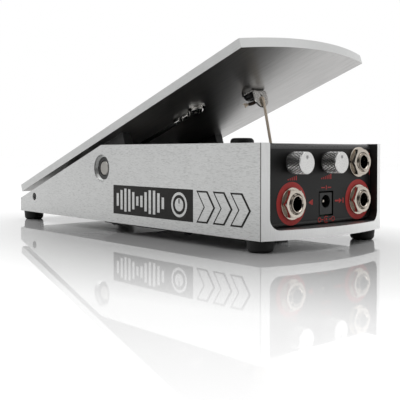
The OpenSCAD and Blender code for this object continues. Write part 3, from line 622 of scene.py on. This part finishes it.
def knurled_knob(name, centre, radius, length, bore_r, bore_l):
    """A knob along -Y with a crisp diamond knurl, a bevelled plain face and a plain back."""
    starts, land, middle = 26, 0.24, 0.62
    knurl_from, knurl_to = 0.5, length - 0.45
    columns = 2 * starts
    rows_count = round((knurl_to - knurl_from) / KNURL_ROW)
    row_height = (knurl_to - knurl_from) / rows_count
    root = radius - KNURL_DEPTH
    verts, faces = [], []

    def vert(column, row, r):
        angle = math.pi * column / starts
        y = knurl_from + row * row_height
        verts.append(centre + Vector((r * math.cos(angle), -y, r * math.sin(angle))) * MM)
        return len(verts) - 1

    groove = {(c, r): vert(c, r, root) for r in range(rows_count + 1) for c in range(columns)
              if (c + r) % 2 == 0}

    def at(column, row):
        return groove[(column % columns, row)]

    def diamond(column, row, reach, r):
        return [vert(column - reach, row, r), vert(column, row - reach, r),
                vert(column + reach, row, r), vert(column, row + reach, r)]

    for row in range(rows_count + 1):
        for column in range(columns):
            if (column + row) % 2 == 0:
                continue
            left, right = at(column - 1, row), at(column + 1, row)
            if 0 < row < rows_count:
                rings = [[left, at(column, row - 1), right, at(column, row + 1)],
                         diamond(column, row, middle, radius - KNURL_DEPTH * middle),
                         diamond(column, row, land, radius)]
                for low, high in zip(rings, rings[1:]):
                    faces += [(low[k], low[(k + 1) % 4], high[(k + 1) % 4], high[k]) for k in range(4)]
                faces.append(tuple(rings[-1]))
            else:
                inner = at(column, 1 if row == 0 else rows_count - 1)
                peak = vert(column, row + (0.3 if row == 0 else -0.3), radius)
                faces += [(left, peak, right), (left, inner, peak), (inner, right, peak)]
    body = new_object(name + "_knurl", verts, faces)
    face_rows = [(root, knurl_to), (radius - 0.05, knurl_to + 0.12), (radius - 0.08, length - 0.18),
                 (radius - 0.3, length)]
    back_rows = [(root, knurl_from), (radius - 0.45, knurl_from - 0.1), (radius - 1.0, 0), (bore_r, 0),
                 (bore_r, bore_l)]
    front = turned(name + "_face", face_rows, centre, (0, -1, 0), sides=columns, loop=False)
    back = turned(name + "_back", back_rows, centre, (0, -1, 0), sides=columns, loop=False)
    return joined(name, [body, front, back])


def make_knobs(look, groove_shade_look, dot_look):
    for node in ("min_knob", "gain_knob"):
        low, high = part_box(node)
        centre = Vector(((low.x + high.x) / 2, high.y, (low.z + high.z) / 2))
        radius = (high.x - low.x) / 2 / MM
        length = (high.y - low.y) / MM
        piece = knurled_knob(node + "_piece", centre, radius, length, bore_r=3.02, bore_l=7.5)
        tidy_normals(piece)
        groove_r = (radius - KNURL_DEPTH * 0.66) * MM
        dot_up = radius * 0.52

        # Faces deep in the knurl's grooves take a dark painted shade.
        def in_groove(face):
            off_axis = face.center - centre
            return int(math.hypot(off_axis.x, off_axis.z) < groove_r and abs(face.normal.y) < 0.8)

        finish(piece, node, look, "knob_aluminium", hides=[node], sharp=20, others=[groove_shade_look],
               pick=in_groove)
        dot_at = centre + Vector((0, -length, dot_up)) * MM
        dot_rows = [(0.85, 0.0), (0.8, 0.03), (0.55, 0.02), (0.3, 0.005), (0.05, 0.0)]
        dot = turned(node + "_dot", dot_rows, dot_at, (0, -1, 0), sides=32, loop=False)
        finish(dot, node, dot_look, "knob_aluminium")


SOCKETS = {"in": (-21.4, 15.9), "out": (29.4, 15.9), "tuner": (29.4, 35.2)}
BUSHING_R = 4.75
BUSHING_BORE_R = 3.25


def in_thread(face):
    """1 for the flanks between a socket bushing's thread crests, else 0."""
    at = CASE.inverted() @ face.center / MM
    off_axis = min(math.hypot(at.x - x, at.z - z) for x, z in SOCKETS.values())
    bore_side, crest = BUSHING_BORE_R + 0.65, BUSHING_R - 0.23
    return int(bore_side < off_axis < crest and abs(face.normal.y) < 0.95)


def make_socket_hardware(look, thread_look):
    bushings, nuts = [], []
    mouth_y, bushing_l = -1.5, 9.0
    seat_y, across_flats, nut_bore_r, nut_t = PANEL_FACE - 0.9, 12.7, 4.77, 2.4
    for x, z in SOCKETS.values():
        bushings.append(threaded_bushing("bushing", in_case(x, mouth_y, z), (0, -1, 0), BUSHING_R,
                                         BUSHING_BORE_R, bushing_l))
        nuts.append(chamfered_nut("nut", in_case(x, seat_y, z), (0, -1, 0), across_flats, nut_bore_r,
                                  nut_t))
    finish(joined("jack_bushings_piece", bushings), "jack_bushings", look, "nickel",
           hides=["jack_bushings"], sharp=30, others=[thread_look], pick=in_thread)
    finish(joined("jack_nuts_piece", nuts), "jack_nuts", look, "nickel", hides=["jack_nuts"], sharp=20)
    refined("jack_washers", look, 0.18)


def make_dc_pin(look):
    low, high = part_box("dc_pin")
    base = Vector(((low.x + high.x) / 2, high.y, (low.z + high.z) / 2))
    length = (high.y - low.y) / MM
    radius = (high.x - low.x) / 2 / MM
    tip = 0.8
    rows = [(radius, 0), (radius, length - tip)]
    rows += [(max(radius * math.cos(a), 0.03), length - tip + tip * math.sin(a))
             for a in [math.radians(d) for d in (20, 40, 60, 80, 90)]]
    pin = turned("dc_pin_piece", rows, base, (0, -1, 0), sides=32, loop=False)
    finish(pin, "dc_pin", look, "nickel", hides=["dc_pin"])


# ---------------------------------------------------------------- printed marks

def bar(x, y, length, thick, angle=0.0):
    """A straight stroke centred on x, y, turned by angle in degrees."""
    c, s = math.cos(math.radians(angle)), math.sin(math.radians(angle))
    return [(x + a * c - b * s, y + a * s + b * c)
            for a, b in rectangle(-length / 2, -thick / 2, length / 2, thick / 2)]


def triangle(x, y, width, height):
    """A solid arrow head centred on x, y; a negative width points it to the left."""
    return [(x - width / 2, y - height / 2), (x + width / 2, y), (x - width / 2, y + height / 2)]


def make_panel_print(look):
    """Generic marks: rings round the two main sockets, level bars, arrows and a polarity mark."""
    plane = CASE @ Matrix.Translation((0, PANEL_FACE * MM, 0)) @ Matrix.Rotation(math.radians(90), 4, "X")
    loops = []
    for name in ("in", "out"):
        x, z = SOCKETS[name]
        loops += [circle(x, z, 10.3, 96), circle(x, z, 7.0, 96)]
    level_z, pitch = 26.9, 1.4
    for start, count in ((-24.0, 5), (0.2, 6)):
        loops += [rectangle(start + i * pitch, level_z, start + i * pitch + 0.7, level_z + 0.7 + 0.36 * i)
                  for i in range(count)]
    arrow_z = SOCKETS["out"][1]
    loops += [triangle(-8.0, arrow_z, -2.2, 2.6), bar(-6.4, arrow_z, 0.7, 2.6)]
    loops += [bar(12.4, arrow_z, 3.0, 0.8), triangle(15.1, arrow_z, 2.2, 2.6),
              bar(17.3, arrow_z, 0.8, 2.6)]
    range_z = 22.75
    loops += [bar(1.6, range_z, 2.6, 0.55), bar(4.1, range_z, 0.6, 2.0), bar(6.5, range_z, 2.6, 0.55)]
    power_x, power_z = 4.2, 7.0
    for x in (power_x - 5.2, power_x + 5.2):
        loops += [circle(x, power_z, 1.25, 32), circle(x, power_z, 0.9, 32)]
    loops += [bar(power_x - 3, power_z, 1.6, 0.35), bar(power_x + 3, power_z, 1.6, 0.35),
              circle(power_x, power_z, 0.55, 24)]
    polar = [(1.75, a) for a in range(50, 311, 10)] + [(1.4, a) for a in range(310, 49, -10)]
    loops.append([(power_x + r * math.cos(math.radians(a)), power_z + r * math.sin(math.radians(a)))
                  for r, a in polar])
    edge_x, edge_z = 39.2, 34.0
    loops += [bar(edge_x, edge_z, 8.0, 0.55, 90), bar(edge_x, edge_z + 4.9, 0.55, 1.6),
              bar(edge_x, edge_z - 4.8, 0.55, 1.6)]
    flat_print("panel_marks", loops, plane, 0.06, look, "case", "panel_black")


def chevron(x, y0, y1, width, point):
    """An arrow-shaped band from y0 to y1 that points to the right."""
    middle = (y0 + y1) / 2
    return [(x, y0), (x + width, y0), (x + width + point, middle),
            (x + width, y1), (x, y1), (x + point, middle)]


def make_side_print(look):
    """A generic band on the left wall: level bars and a dial cut out of a block, then outlined chevrons."""
    print_from = in_case(0, 117.6, 0).y
    plane = Matrix.Translation((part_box("case_channel")[0].x, 0, 0)) @ Matrix(
        ((0, 0, -1, 0), (-1, 0, 0, print_from), (0, 1, 0, CASE.translation.z), (0, 0, 0, 1)))
    low, high, block_end = 5.3, 21.6, 70.7
    middle = (low + high) / 2
    loops = [rectangle(0, low, block_end, high)]
    for i in range(12):
        x = 3.2 + 3.8 * i
        half = 1.6 + 4.9 * abs(math.sin(math.radians(24 + 29 * i)))
        loops.append(rectangle(x, middle - half, x + 2.2, middle + half))
    dial = 59.6
    loops += [circle(dial, middle, 6.4), circle(dial, middle, 5.0), circle(dial, middle, 3.4, 48),
              bar(dial, middle + 1.8, 0.8, 2.4)]
    for i in range(3):
        x = 73.2 + 12.2 * i
        loops += [chevron(x, low + 0.1, high - 0.3, 8.4, 5.6),
                  chevron(x + 1.35, low + 0.95, high - 1.15, 6.2, 5.05)]
    flat_print("side_print", loops, plane, 0.06, look, "case", "case_aluminium")


# ---------------------------------------------------------------- string, spring and wire

STRING_X = 5.8
STRING_R = 0.8
WRAP_R = 6.75
HOLE = in_treadle(STRING_X, -88.45, 11.4)
PIN = in_case(STRING_X, 212.8, 10.5)


def drum_point(angle, x_mm=STRING_X, radius=WRAP_R):
    y = DRUM.y + radius * MM * math.cos(angle)
    z = DRUM.z + radius * MM * math.sin(angle)
    return Vector((x_mm * MM, y, z))


def string_tangent_angle():
    """Angle at which the string from the tab's hole meets the drum, on its toe side."""
    away = Vector((HOLE.y - DRUM.y, HOLE.z - DRUM.z))
    return math.atan2(away.y, away.x) + math.acos(WRAP_R * MM / away.length)


def line_frame():
    """The lower string's frame: y runs from the drum's underside to the heel pin."""
    start = drum_point(math.radians(270))
    return Matrix.Translation(start) @ Matrix.Rotation(
        math.atan2(PIN.z - start.z, PIN.y - start.y), 4, "X"), (PIN - start).length


def make_strings(look, tail_look):
    cord = twist(STRING_R * MM, 3.4 * MM)
    meets = drum_point(string_tangent_angle())
    front = [in_treadle(STRING_X, -86.8, 11.0), in_treadle(STRING_X, -88.2, 10.85),
             in_treadle(STRING_X, -89.5, 10.4), in_treadle(STRING_X, -90.0, 9.2)]
    straight = [front[-1].lerp(meets, t) for t in (0.1, 0.4, 0.7, 1)]
    drive = swept("drive_string_piece", smooth_path(front + straight, 0.25 * MM), cord, sides=18)
    finish_cord(drive, look, ["drive_string"])
    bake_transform(drive)

    frame_line, _ = line_frame()
    lower = swept("return_string_piece", [frame_line @ Vector((0, s * 0.25 * MM, 0)) for s in range(265)],
                  cord, sides=18)
    finish_cord(lower, look, ["return_string"])
    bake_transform(lower)

    turns, half_width = 2.6, 1.65
    wound = []
    for a in range(0, round(360 * turns) + 1, 4):
        x = STRING_X - half_width + 2 * half_width * a / (360 * turns)
        wound.append(drum_point(string_tangent_angle() + math.radians(a), x))
    wrap = swept("string_wrap_piece", wound, cord, sides=18)
    finish(wrap, "drum", look, "cord_tan", hides=["string_wrap"])

    knot_route = [(5.8, -87.0, 11.0), (6.9, -86.4, 11.3), (6.6, -86.0, 9.9), (5.1, -86.2, 10.1),
                  (5.2, -86.6, 11.5), (6.0, -85.8, 11.4), (5.6, -84.8, 10.4), (5.0, -83.4, 9.9),
                  (4.2, -82.0, 9.8), (3.5, -80.8, 10.0)]
    knot = swept("string_knot", smooth_path([in_treadle(*p) for p in knot_route], 0.25 * MM),
                 twist(1.05 * MM, 3 * MM), sides=18)
    finish(knot, "treadle", tail_look, "cord_tan")
    strands = []
    for i in range(11):
        turn = 2 * math.pi * i / 11
        across, rise = math.cos(turn), math.sin(turn)
        spread = 0.5 + 0.15 * (i % 3)
        route = [(4.0, -81.6, 9.8), (3.5 + 0.3 * across, -80.6, 10.0 + 0.3 * rise),
                 (3.1 + spread * across, -79.8 + 0.15 * (i % 4), 10.1 + spread * rise),
                 (2.8 + 1.9 * spread * across, -79.0 + 0.3 * (i % 3), 10.2 + 1.7 * spread * rise)]
        path = smooth_path([in_treadle(*p) for p in route], 0.4 * MM)
        strands.append(swept("strand", path, 0.25 * MM, 8))
    finish(joined("string_frayed_end", strands), "treadle", look, "cord_tan")


def finish_cord(obj, look, hides):
    """Gives a piece its material and smooth faces and hides the CAD parts it stands for, but, unlike
    finish, no parent.
    """
    obj.data.materials.append(look)
    obj.data.polygons.foreach_set("use_smooth", [True] * len(obj.data.polygons))
    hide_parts(*hides)


def make_spring(look):
    frame_line, length = line_frame()
    coil_r, wire_r, turns, per_turn = 2.75, 0.45, 50, 18
    start, end = 76.5, 157.5
    eye_s, eye_r, far_r = 75, 2.6, 3.05

    def on_line(x, s, z):
        return frame_line @ Vector((x * MM, s * MM, z * MM))

    steps = turns * per_turn
    helix = []
    for i in range(steps + 1):
        angle = 2 * math.pi * i / per_turn
        s = start + (end - start) * i / steps
        helix.append(on_line(coil_r * math.sin(angle), s, coil_r * math.cos(angle)))
    coil = swept("return_spring_coil", helix, wire_r * MM, 10)
    finish_cord(coil, look, ["return_spring"])
    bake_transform(coil)

    near = [on_line(0, eye_s - eye_r * math.cos(math.radians(a)), eye_r * math.sin(math.radians(a)))
            for a in range(-180, 121, 10)] + [on_line(0, start, coil_r)]
    finish(swept("return_spring_eye", near, wire_r * MM, 10), "hook", look, "bright_steel")
    pin_s = length / MM
    far = [on_line(0, end, coil_r), on_line(0, end + 2, far_r)]
    far += [on_line(0, pin_s + far_r * math.sin(math.radians(a)), far_r * math.cos(math.radians(a)))
            for a in range(0, 301, 10)]
    finish(swept("return_spring_end", far, wire_r * MM, 10), "case", look, "bright_steel")


EARTH_ROUTE = [(-15.7, 97.5, 56.9), (-16, 100, 55.7), (-16.3, 106, 53.2), (-16.8, 114, 50.2),
               (-17, 122, 47.4), (-17.2, 130, 44.4), (-17.6, 137, 39.8), (-18.2, 141.5, 33), (-19, 142, 25),
               (-20.2, 139.5, 16.5), (-21.8, 133, 10), (-23.4, 123, 7), (-25, 110, 6.2), (-26.4, 90, 6),
               (-27, 70, 6), (-27, 50, 6.2), (-26.6, 41, 8), (-26, 34.5, 11), (-25.6, 30.5, 12.6),
               (-25.3, 28.6, 12.2), (-25.2, 28, 10.8), (-25.2, 27.9, 9.5)]


def make_earth_wire(look):
    wire_r = 1.05
    path = smooth_path([in_case(*p) for p in EARTH_ROUTE], 1.0 * MM)
    wire = swept("earth_wire_piece", path, wire_r * MM, 16)
    finish_cord(wire, look, ["earth_wire"])
    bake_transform(wire)


# ---------------------------------------------------------------- treadle details

def make_grip_mat(look):
    """A thin rubber sheet with rows of round studs; its studs reach the height of the CAD mat."""
    base_z, sheet, stud_h = 20.56, 0.65, 0.55
    half, toe, heel, bulge, half_chord = 39.4, -124.2, 94.0, 7.3, 45
    arc_r = (half_chord ** 2 + bulge ** 2) / (2 * bulge)
    centre_y = arc_r - bulge + toe

    def toe_edge(x):
        return centre_y - math.sqrt(arc_r ** 2 - x * x)

    outline = [(x, toe_edge(x)) for x in [half * (i / 12 - 1) for i in range(25)]]
    outline += [(half, heel), (-half, heel)]
    plane = TREADLE @ Matrix.Translation((0, 0, (base_z + sheet / 2) * MM))
    flat_print("grip_mat_sheet", [outline], plane, sheet, look, "treadle", "mat_black")
    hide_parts("grip_mat")
    verts, faces = [], []
    pitch, margin, heel_margin, sides = 4.6, 3, 4, 10
    row_step = pitch * 0.866
    profile = ((1.35, 0.0), (1.2, 0.38), (0.95, stud_h))
    for row in range(int((heel - toe + bulge) / row_step) + 1):
        y = heel - heel_margin - row * row_step
        for column in range(-9, 10):
            x = (column + (0.5 if row % 2 else 0)) * pitch
            if abs(x) > half - margin or y < toe_edge(x) + margin:
                continue
            base = len(verts)
            for r, height in profile:
                verts += [in_treadle(x + r * math.cos(2 * math.pi * k / sides),
                                     y + r * math.sin(2 * math.pi * k / sides), base_z + sheet + height)
                          for k in range(sides)]
            for ring in range(2):
                low, high = base + ring * sides, base + (ring + 1) * sides
                faces += [(low + k, low + (k + 1) % sides, high + (k + 1) % sides, high + k)
                          for k in range(sides)]
            faces.append(tuple(base + 2 * sides + k for k in range(sides)))
            faces.append(tuple(base + k for k in range(sides))[::-1])
    finish(new_object("grip_mat_studs", verts, faces), "treadle", look, "mat_black")


def make_earth_ring(look):
    """The ring terminal: flat ring, neck, and two crimps whose wings curl over the wire."""
    x, y, top, sheet = -15.7, -59.5, 15.8, 0.8
    ring_r, hole_r, neck_half, neck_from, neck_to, metal = 5, 2.02, 1.5, 7.2, 20, 0.45
    plane = TREADLE @ Matrix.Translation((0, 0, (top - sheet / 2) * MM))
    ring = [(x + ring_r * math.cos(math.radians(a)), y + ring_r * math.sin(math.radians(a)))
            for a in range(110, 431, 6)]
    outline = ring + [(x + neck_half, y + neck_from), (x + neck_half, y + neck_to),
                      (x - neck_half, y + neck_to), (x - neck_half, y + neck_from)]
    piece = flat_print("earth_ring_piece", [outline, circle(x, y, hole_r, 40)], plane, sheet, look,
                       "treadle", "bright_steel")
    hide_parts("earth_ring")
    crimps = (("crimp_core", 7.5, 11.5, 1.3, 40), ("crimp_sleeve", 15, 19.4, 1.75, 70))
    for name, y0, y1, radius, gap in crimps:
        angles = [math.radians(a) for a in range(-90 + gap, 271 - gap, 10)]
        middle = top - sheet - radius * 0.55
        verts = []
        for along in (y0, y1):
            for r in (radius, radius - metal):
                verts += [in_treadle(x + r * math.cos(a), y + along, middle + r * math.sin(a))
                          for a in angles]
        n = len(angles)
        faces = [(k, k + 1, 2 * n + k + 1, 2 * n + k) for k in range(n - 1)]
        faces += [(n + k, 3 * n + k, 3 * n + k + 1, n + k + 1) for k in range(n - 1)]
        faces += [(k, n + k, n + k + 1, k + 1) for k in range(n - 1)]
        faces += [(2 * n + k, 2 * n + k + 1, 3 * n + k + 1, 3 * n + k) for k in range(n - 1)]
        faces += [(0, 2 * n, 3 * n, n), (n - 1, 2 * n - 1, 4 * n - 1, 3 * n - 1)]
        crimp = new_object("earth_" + name, verts, faces)
        tidy_normals(crimp)
        finish(crimp, "treadle", look, "bright_steel")


# ---------------------------------------------------------------- build

make_camera()
make_stage(floor_look())

aluminium = (0.56, 0.565, 0.56)
case_metal = brushed_aluminium("case_aluminium", aluminium, 480, 0.2)
treadle_metal = brushed_aluminium("treadle_aluminium", aluminium, 160, 0.10, tilt=TREADLE_TILT)
# Darker brushed aluminium for the treadle's underside: painted shade.
under_shade_metal = brushed_aluminium("underside_aluminium_painted_shade", (0.375, 0.37, 0.365), 60, 0.25, tilt=TREADLE_TILT)
cut_metal = cut_aluminium("cut_aluminium", (0.86, 0.865, 0.86))
# A darker copy of the cut finish for the treadle's toe and heel edges: painted shade.
toe_shade_metal = cut_aluminium("toe_aluminium_painted_shade", (0.68, 0.685, 0.68))
# Dark aluminium for the broken upright corners of case and treadle: painted shade.
edge_shade_metal = speckled("edge_aluminium_painted_shade", (0.22, 0.22, 0.22), 1.0, 0.4, 2500, 0.1, 0.004)
# Near-black aluminium for the inside of the case's walls: painted shade.
inner_shade_metal = speckled("inner_aluminium_painted_shade", (0.05, 0.05, 0.05), 1.0, 0.55, 2500, 0.1, 0.01)
panel_black = speckled("panel_black", (0.006, 0.0056, 0.0054), 0.0, 0.42, 2500, 0.08, 0.012,
                       Specular_IOR_Level=0.3)
# Lighter black for the panel's top bend and outline: a painted highlight.
panel_bend = speckled("panel_bend", (0.03, 0.03, 0.03), 0.0, 0.3, 2500, 0.08, 0.01)
cover_black = speckled("cover_black", (0.007, 0.007, 0.007), 0.0, 0.5, 2500, 0.08, 0.012,
                       Specular_IOR_Level=0.3)
ear_black = speckled("ear_black", (0.012, 0.012, 0.012), 0.0, 0.42, 3000, 0.08, 0.008,
                     Specular_IOR_Level=0.4)
rubber = speckled("rubber_black", (0.006, 0.006, 0.006), 0.0, 0.55, 1800, 0.15, 0.015,
                  Specular_IOR_Level=0.35)
mat_rubber = speckled("mat_rubber", (0.015, 0.015, 0.016), 0.0, 0.68, 2200, 0.15, 0.03)
plastic = speckled("plastic_black", (0.008, 0.008, 0.008), 0.0, 0.42, 3000, 0.06, 0.006)
nylon = speckled("bush_black", (0.012, 0.012, 0.012), 0.0, 0.45, 2500, 0.08, 0.008)
nickel = speckled("nickel", (0.57, 0.515, 0.45), 1.0, 0.13, 1500, 0.06, 0.003, swing=0.04)
steel = speckled("bright_steel", (0.62, 0.61, 0.59), 1.0, 0.26, 1800, 0.06, 0.005)
tinned = speckled("tinned_steel", (0.50, 0.49, 0.47), 1.0, 0.12, 1500, 0.05, 0.003)
thread_metal = speckled("thread_shadow", (0.20, 0.17, 0.14), 1.0, 0.3, 1500, 0.06, 0.003)
turned_steel = speckled("axle_steel", (0.34, 0.33, 0.31), 1.0, 0.36, 2600, 0.12, 0.012)
dark_screw = speckled("dark_screw", (0.03, 0.03, 0.031), 0.6, 0.38, 2600, 0.1, 0.006)
knob_metal = speckled("knob_aluminium", (0.70, 0.70, 0.69), 1.0, 0.2, 3500, 0.04, 0.003)
# Dark aluminium for the knurl's grooves: painted shade.
groove_shade_metal = speckled("knob_grooves_painted_shade", (0.11, 0.11, 0.11), 1.0, 0.5, 3500, 0.1, 0.004)
knob_dot = speckled("knob_dot", (0.30, 0.30, 0.30), 1.0, 0.35, 3500, 0.04, 0.004)
board = speckled("board_green", (0.012, 0.075, 0.03), 0.0, 0.3, 1200, 0.15, 0.01)
chip = speckled("chip_black", (0.015, 0.015, 0.015), 0.0, 0.5, 3000, 0.08, 0.01)
sleeve_blue = speckled("capacitor_blue", (0.02, 0.03, 0.10), 0.0, 0.3, 2000, 0.08, 0.004)
brass = speckled("brass", (0.62, 0.46, 0.2), 1.0, 0.3, 2000, 0.06, 0.005)
lead_red = speckled("lead_red", (0.25, 0.014, 0.012), 0.0, 0.4, 2000, 0.08, 0.005)
wire_black = speckled("wire_black", (0.009, 0.009, 0.009), 0.0, 0.38, 2500, 0.08, 0.008)
red_print = worn_print("red_print", (0.48, 0.046, 0.043), (0.10, 0.015, 0.015), 0.28)
black_print = worn_print("black_print", (0.011, 0.010, 0.009), (0.04, 0.04, 0.04), 0.26)
cord = cord_look("cord_tan", (1.0, 0.86, 0.70), (0.92, 0.76, 0.58))
cord_tail = cord_look("cord_tail", (0.02, 0.014, 0.01), (0.10, 0.05, 0.025))

SOFTENED = [
    (panel_black, 0.15, ["pot_bracket"]),
    (cover_black, 0.2, ["bottom_cover"]),
    (ear_black, 0.3, ["ear_left", "ear_right"]),
    (plastic, 0.2, ["input_jack", "output_jack", "tuner_jack", "dc_jack", "string_drum"]),
    (nylon, 0.12, ["pivot_bush_left", "pivot_bush_right"]),
    (steel, 0.15, ["string_bracket", "volume_pot", "min_pot", "gain_pot", "spring_hook"]),
    (tinned, 0.1, ["earth_screw"]),
    (dark_screw, 0.1, ["string_screw"]),
    (nickel, 0.15, ["pot_nut"]),
    (rubber, 0.3, ["foot_toe_left", "foot_toe_right", "foot_heel_left", "foot_heel_right", "toe_stop",
                   "heel_stop"]),
]
for look, bevel, names in SOFTENED:
    for name in names:
        refined(name, look, bevel)

PAINTED = [
    (dark_screw, ["panel_screws", "cover_screws", "rubber_screws", "bracket_bolts", "axle_screws",
                  "heel_pin"]),
    (steel, ["board_screws", "ear_screws"]),
    (turned_steel, ["axle", "min_shaft", "gain_shaft", "pot_shaft"]),
    (board, ["main_board", "control_board"]),
    (chip, ["amp_chip"]),
    (sleeve_blue, ["capacitors"]),
    (brass, ["board_posts"]),
    (lead_red, ["pot_leads"]),
]
for look, names in PAINTED:
    for name in names:
        paint(name, look)

refined("case_channel", case_metal, 0.25, first=(is_toe_corner, 0.3),
        others=[cut_metal, inner_shade_metal, edge_shade_metal], pick=case_face)
refined("treadle_plate", treadle_metal, 0.25, first=(is_toe_corner, 0.3),
        others=[toe_shade_metal, under_shade_metal, edge_shade_metal], pick=plate_face)
refined("jack_panel", panel_black, 0.12, first=(is_panel_outline, 0.9),
        others=[panel_bend], pick=panel_face)
make_knobs(knob_metal, groove_shade_metal, knob_dot)
make_socket_hardware(nickel, thread_metal)
make_dc_pin(nickel)
make_panel_print(red_print)
make_side_print(black_print)
make_strings(cord, cord_tail)
make_spring(steel)
make_earth_wire(wire_black)
make_grip_mat(mat_rubber)
make_earth_ring(tinned)
